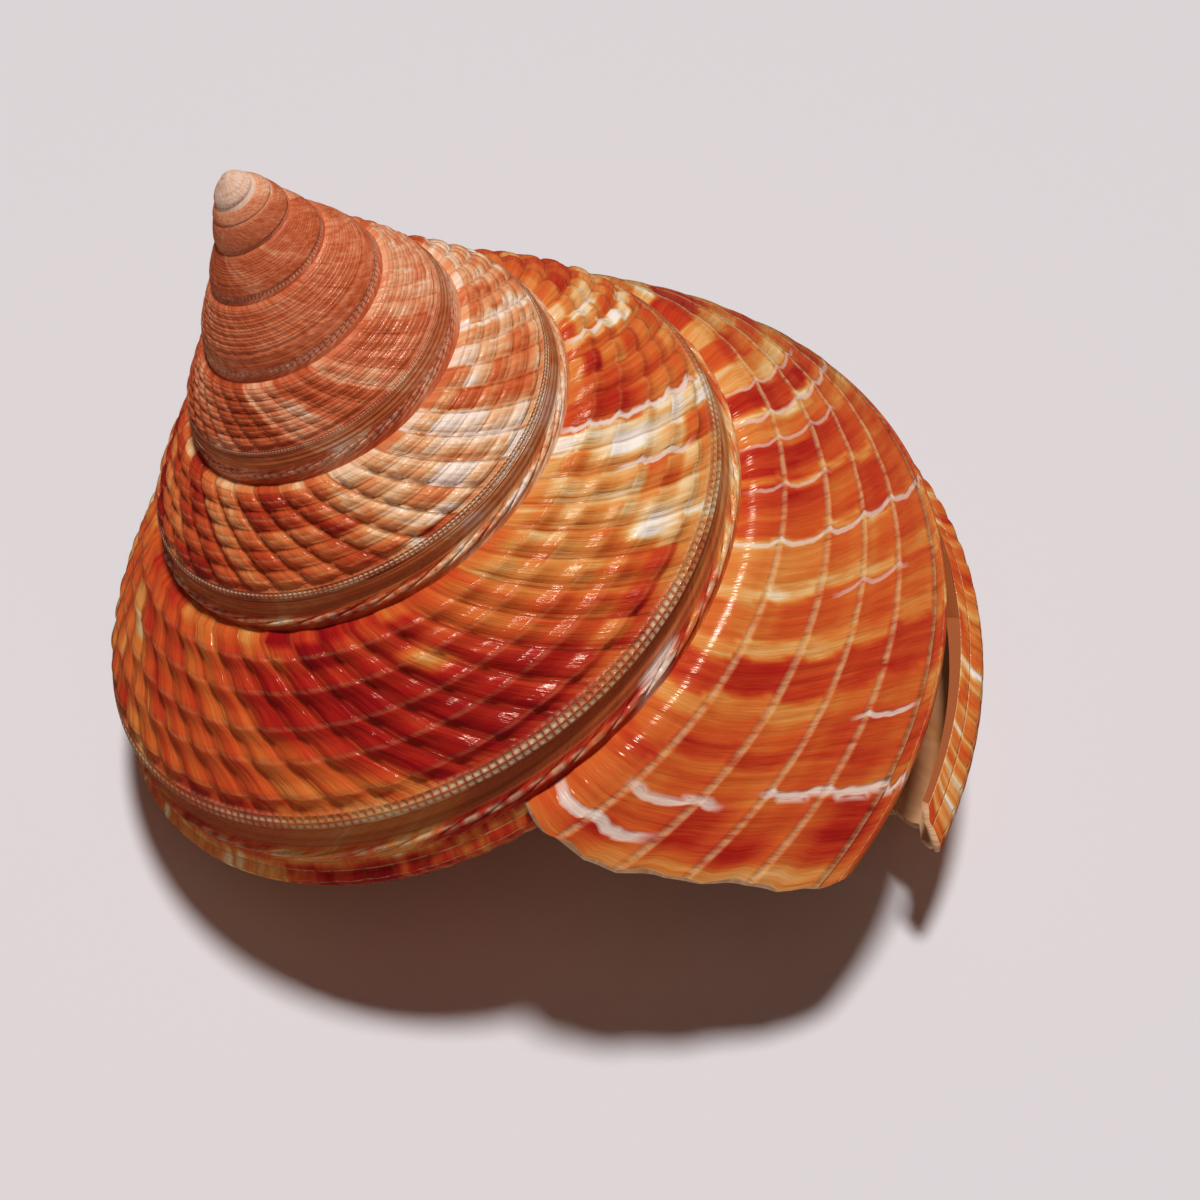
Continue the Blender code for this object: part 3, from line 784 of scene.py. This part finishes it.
outsideLook = {
    "vivid": (
        (0.00, (0.28, 0.006, 0.008)), (0.16, (0.42, 0.018, 0.010)), (0.30, (0.53, 0.050, 0.015)),
        (0.44, (0.61, 0.096, 0.020)), (0.56, (0.65, 0.156, 0.030)), (0.68, (0.70, 0.260, 0.058)),
        (0.80, (0.76, 0.430, 0.160)), (0.90, (0.82, 0.620, 0.360)), (1.00, (0.88, 0.800, 0.720)),
    ),
    "aged": (
        (0.00, (0.24, 0.024, 0.010)), (0.30, (0.40, 0.058, 0.018)), (0.50, (0.58, 0.118, 0.042)),
        (0.66, (0.72, 0.215, 0.098)), (0.80, (0.80, 0.370, 0.190)), (1.00, (0.92, 0.700, 0.560)),
    ),
    "band": (0.36, 0.098, 0.030),
    "bandShare": 0.75,
    "cordCream": (0.80, 0.50, 0.24),
    # painted shade colour of the grooves, and how strongly it is mixed in
    "hollow": (0.30, 0.050, 0.012),
    "grooveShadeShare": 0.8,
    "beadCream": (0.74, 0.56, 0.33),
    "beadPink": (0.80, 0.52, 0.38),
    "scarWhite": (0.82, 0.68, 0.58),
    # noise: waves along the coil, waves across a whorl, start, detail, roughness
    "streaks": (260, 5, 0.0, 3.0, 0.6),
    "fineLines": (900, 9, 8.0, 2.0, 0.6),
    "blocks": (85, 3.7, 4.0, 2.0, 0.5),
    "stretches": (24, 1, 12.0, 1.0, 0.5),
    "ripple": (8, 2.5, 20.0, 1.0, 0.5),
    # how much these change the tone; for the streaks, what age adds and the fresh value
    "streakTone": (-0.20, 0.34),
    "blockTone": 0.60,
    "fineTone": 0.16,
    # slopes of the masks: gain, offset
    "ribGroove": (9, -3.5),
    "cordGroove": (9, -3.6),
    "cordLine": (-14, 1.35),
    "dashes": (4, -1.2),
    "stretchMask": (7, -2.9),
    "lowCord": (-4, 2.2),
    "lowBeads": (0.7, 0.8),
    "scarLine": (-0.7, 1.2),
    "beadsPerTurn": 260,
    "lowBeadsPerTurn": 96,
    "beadGround": 0.4,
    # how pale the beads are, what the pale stretches add and what is there anyway
    "beadTint": (0.75, 0.2),
    "lowBeadTint": (0.35, 0.1),
    "scarWaver": 3.0,
    # how much each layer lifts the surface: what age adds, and the fresh value
    "streakLift": (-0.35, 0.5),
    "fineLift": (-0.26, 0.35),
    "blockLift": (-2.0, 2.2),
    "cordLift": 1.1,
    "grooveLift": -1.2,
    "beadLift": 1.1,
    "scarLift": 0.6,
    "lowBeadLift": 0.7,
    "threadLift": -4,
    # roughness where streaks are at their middle, and its change with them
    "roughness": 0.15,
    "roughnessChange": 0.22,
    "specular": 0.17,
    "specularTint": (1.0, 0.86, 0.66),
    "coat": 0.03,
    "coatRoughness": 0.12,
    "bumpDepth": 0.00012,
}

outsideMaterial, tree, shader = newMaterial("shellOutside")
growthLine = attribute(tree, "growth")
place = attribute(tree, "place")
step = attribute(tree, "step")
turnLine = attribute(tree, "turn")
crest = attribute(tree, "crest")
beads = attribute(tree, "beads")
bandMask = attribute(tree, "band")
old = attribute(tree, "old")

# Tone of the bands, broken up by noise along the growth lines
streaks = noise(tree, growthLine, place, outsideLook["streaks"])
blocks = noise(tree, growthLine, maths(tree, "FLOOR", step), outsideLook["blocks"])
fineLines = noise(tree, growthLine, place, outsideLook["fineLines"])
tone = attribute(tree, "tone")
for layer, share in (
    (streaks, timesPlus(tree, old, *outsideLook["streakTone"])),
    (blocks, outsideLook["blockTone"]),
    (fineLines, outsideLook["fineTone"]),
):
    tone = timesPlus(tree, maths(tree, "SUBTRACT", layer, 0.5), share, tone)
vivid = ramp(tree, tone, outsideLook["vivid"])
aged = ramp(tree, tone, outsideLook["aged"])
colour = mixColour(tree, old, vivid, aged)
bandTint = times(tree, bandMask, outsideLook["bandShare"])
colour = mixColour(tree, bandTint, colour, outsideLook["band"])

# Painted shade in the grooves between the ribs and between the cords
cordNear = maths(tree, "PINGPONG", step, 0.5)
ribNear = maths(tree, "PINGPONG", attribute(tree, "rib"), 0.5)
ribGroove = mask(tree, ribNear, outsideLook["ribGroove"])
cordGroove = mask(tree, cordNear, outsideLook["cordGroove"])
cordGroove = times(tree, cordGroove, timesPlus(tree, old, 1.2, 0.1))
grooves = times(tree, maths(tree, "MAXIMUM", ribGroove, cordGroove), attribute(tree, "hollow"))
paintedGrooveShade = clamped(tree, times(tree, grooves, outsideLook["grooveShadeShare"]))
colour = mixColour(tree, paintedGrooveShade, colour, outsideLook["hollow"])

# Beads of the double cord, pale in some stretches
beadWave = maths(tree, "SINE", times(tree, turnLine, 2 * math.pi * outsideLook["beadsPerTurn"]))
beadShade = maths(tree, "POWER", timesPlus(tree, beadWave, 0.5, 0.5), 0.4)
beadRow = maths(tree, "ABSOLUTE", maths(tree, "SINE", times(tree, step, 2 * math.pi)))
beadRow = maths(tree, "POWER", beadRow, 0.8)
beadForm = times(tree, beads, times(tree, beadShade, beadRow))
stretches = noise(tree, growthLine, step, outsideLook["stretches"])
stretches = mask(tree, stretches, outsideLook["stretchMask"])
beadTint = times(tree, beadForm, timesPlus(tree, stretches, *outsideLook["beadTint"]))
beadGround = times(tree, beads, outsideLook["beadGround"])
colour = mixColour(tree, beadGround, colour, outsideLook["band"])
beadColour = mixColour(tree, old, outsideLook["beadCream"], outsideLook["beadPink"])
colour = mixColour(tree, beadTint, colour, beadColour)

# Pale lines on the cords, and the beads of the lowest one
cordLine = mask(tree, cordNear, outsideLook["cordLine"])
dashes = mask(tree, streaks, outsideLook["dashes"])
cordTint = times(tree, crest, times(tree, cordLine, dashes))
colour = mixColour(tree, clamped(tree, cordTint), colour, outsideLook["cordCream"])
fromLowCord = maths(tree, "ABSOLUTE", maths(tree, "SUBTRACT", step, 10))
lowCord = mask(tree, fromLowCord, outsideLook["lowCord"])
lowWave = maths(tree, "SINE", times(tree, turnLine, 2 * math.pi * outsideLook["lowBeadsPerTurn"]))
lowBeads = mask(tree, lowWave, outsideLook["lowBeads"])
lowForm = times(tree, times(tree, lowCord, lowBeads), clamped(tree, times(tree, crest, 12)))
lowTint = times(tree, lowForm, timesPlus(tree, stretches, *outsideLook["lowBeadTint"]))
colour = mixColour(tree, lowTint, colour, beadColour)

# Pale growth lines that waver a little
ripple = noise(tree, growthLine, step, outsideLook["ripple"])
wavy = maths(tree, "SUBTRACT", ripple, 0.5)
wavy = timesPlus(tree, wavy, outsideLook["scarWaver"], attribute(tree, "scarAcross"))
scarLine = mask(tree, times(tree, wavy, wavy), outsideLook["scarLine"])
scarLine = times(tree, scarLine, attribute(tree, "scarAlong"))
colour = mixColour(tree, scarLine, colour, outsideLook["scarWhite"])
tree.links.new(colour, shader.inputs["Base Color"])

lowest = outsideLook["roughness"] - outsideLook["roughnessChange"] / 2
roughness = timesPlus(tree, streaks, outsideLook["roughnessChange"], lowest)
tree.links.new(roughness, shader.inputs["Roughness"])
shader.inputs["Specular IOR Level"].default_value = outsideLook["specular"]
shader.inputs["Specular Tint"].default_value = (*outsideLook["specularTint"], 1)
shader.inputs["Coat Weight"].default_value = outsideLook["coat"]
shader.inputs["Coat Roughness"].default_value = outsideLook["coatRoughness"]

# Fine surface: each layer, and how much it lifts
cordBeads = times(tree, cordLine, timesPlus(tree, beadShade, 0.7, 0.3))
threads = times(tree, maths(tree, "PINGPONG", step, 0.25), outsideLook["threadLift"])
surface = 0.0
for layer, share in (
    (streaks, timesPlus(tree, old, *outsideLook["streakLift"])),
    (fineLines, timesPlus(tree, old, *outsideLook["fineLift"])),
    (cordBeads, times(tree, crest, outsideLook["cordLift"])),
    (grooves, outsideLook["grooveLift"]),
    (beadForm, outsideLook["beadLift"]),
    (scarLine, outsideLook["scarLift"]),
    (lowForm, outsideLook["lowBeadLift"]),
    (threads, timesPlus(tree, bandMask, 0.5, times(tree, old, crest))),
    (blocks, timesPlus(tree, old, *outsideLook["blockLift"])),
):
    surface = timesPlus(tree, layer, share, surface)
addBump(tree, shader, surface, outsideLook["bumpDepth"])

innerLook = {
    # peach at the lip is partly the inside's own colour, partly painted light that lightens it
    "litPeach": (0.88, 0.50, 0.27),
    "pearl": (0.55, 0.21, 0.07),
    "deep": (0.62, 0.42, 0.28),
    "cloud": (30, 6, 2.0, 3.0, 0.55),
    "cloudTone": (0.6, -0.3),
    "fade": -5,            # how fast the colours follow each other, going in
    "roughness": 0.28,
    "coat": 0.3,
    "coatRoughness": 0.1,
    "bumpDepth": 0.00008,
}

insideMaterial, tree, shader = newMaterial("shellInside")
growthLine = attribute(tree, "growth")
cloud = noise(tree, growthLine, attribute(tree, "place"), innerLook["cloud"])
depthIn = times(tree, growthLine, innerLook["fade"])
depthIn = maths(tree, "ADD", depthIn, timesPlus(tree, cloud, *innerLook["cloudTone"]))
stops = ((0.05, innerLook["litPeach"]), (0.3, innerLook["pearl"]), (1.0, innerLook["deep"]))
tree.links.new(ramp(tree, depthIn, stops), shader.inputs["Base Color"])
shader.inputs["Roughness"].default_value = innerLook["roughness"]
shader.inputs["Coat Weight"].default_value = innerLook["coat"]
shader.inputs["Coat Roughness"].default_value = innerLook["coatRoughness"]
addBump(tree, shader, cloud, innerLook["bumpDepth"])

edgeLook = {
    "amber": (0.60, 0.24, 0.09),
    "cream": (0.74, 0.47, 0.26),
    "white": (0.82, 0.66, 0.50),
    # the dark brown of the slit walls is painted shade
    "slit": (0.33, 0.085, 0.020),
    "cloud": (40, 0, 5.0, 3.0, 0.6),
    "roughness": 0.7,
    "specular": 0.15,
    "bumpDepth": 0.0001,
}

edgeMaterial, tree, shader = newMaterial("shellEdge")
place = attribute(tree, "place")
cloud = noise(tree, place, place, edgeLook["cloud"])
stops = ((0.3, edgeLook["amber"]), (0.55, edgeLook["cream"]), (0.75, edgeLook["white"]))
# the slit walls take the slit brown, painted shade, instead of the lip colours
colour = mixColour(tree, attribute(tree, "old"), ramp(tree, cloud, stops), edgeLook["slit"])
tree.links.new(colour, shader.inputs["Base Color"])
shader.inputs["Roughness"].default_value = edgeLook["roughness"]
shader.inputs["Specular IOR Level"].default_value = edgeLook["specular"]
addBump(tree, shader, cloud, edgeLook["bumpDepth"])

for material in (outsideMaterial, insideMaterial, edgeMaterial):
    shellMesh.materials.append(material)
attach(shell, "root")
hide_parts("slit_shell")
print("materials ready")


# Floor and soft light
studio = {
    "floor": (0.645, 0.62, 0.64),
    "floorRoughness": 0.85,
    "floorHalf": 1.5,
    "world": (0.90, 0.78, 0.74),
    "worldStrength": 0.035,
    "backdrop": (0.67, 0.635, 0.645),   # what the camera sees past the floor
    # direction that the light comes from, strength, angle across in degrees, colour
    "key": ((0.03, 0.15, 1.0), 3.15, 9.0, (1.0, 1.0, 1.0)),
    "fill": ((0.15, -0.65, 1.0), 0.31, 50.0, (1.0, 0.53, 0.38)),
}

floorMesh = bpy.data.meshes.new("floor")
half = studio["floorHalf"]
corners = [(-half, -half, 0), (half, -half, 0), (half, half, 0), (-half, half, 0)]
floorMesh.from_pydata(corners, [], [(0, 1, 2, 3)])
floor = bpy.data.objects.new("floor", floorMesh)
bpy.context.scene.collection.objects.link(floor)
material, tree, shader = newMaterial("floor")
shader.inputs["Base Color"].default_value = (*studio["floor"], 1)
shader.inputs["Roughness"].default_value = studio["floorRoughness"]
floorMesh.materials.append(material)
floor.visible_glossy = False   # keeps the far side free of a pale veil

world = bpy.data.worlds.new("studio")
world.use_nodes = True
tree = world.node_tree
surround = tree.nodes["Background"]
surround.inputs["Color"].default_value = (*studio["world"], 1)
surround.inputs["Strength"].default_value = studio["worldStrength"]
backdrop = tree.nodes.new("ShaderNodeBackground")
backdrop.inputs["Color"].default_value = (*studio["backdrop"], 1)
rays = tree.nodes.new("ShaderNodeLightPath")
either = tree.nodes.new("ShaderNodeMixShader")
tree.links.new(rays.outputs["Is Camera Ray"], either.inputs["Fac"])
tree.links.new(surround.outputs[0], either.inputs[1])
tree.links.new(backdrop.outputs[0], either.inputs[2])
tree.links.new(either.outputs[0], tree.nodes["World Output"].inputs["Surface"])
bpy.context.scene.world = world

for name in ("key", "fill"):
    (east, north, up), strength, across, tint = studio[name]
    data = bpy.data.lights.new(name, "SUN")
    data.energy = strength
    data.angle = math.radians(across)
    data.color = tint
    lamp = bpy.data.objects.new(name, data)
    lamp.rotation_euler = (math.atan2(math.hypot(east, north), up), 0, math.atan2(east, -north))
    bpy.context.scene.collection.objects.link(lamp)
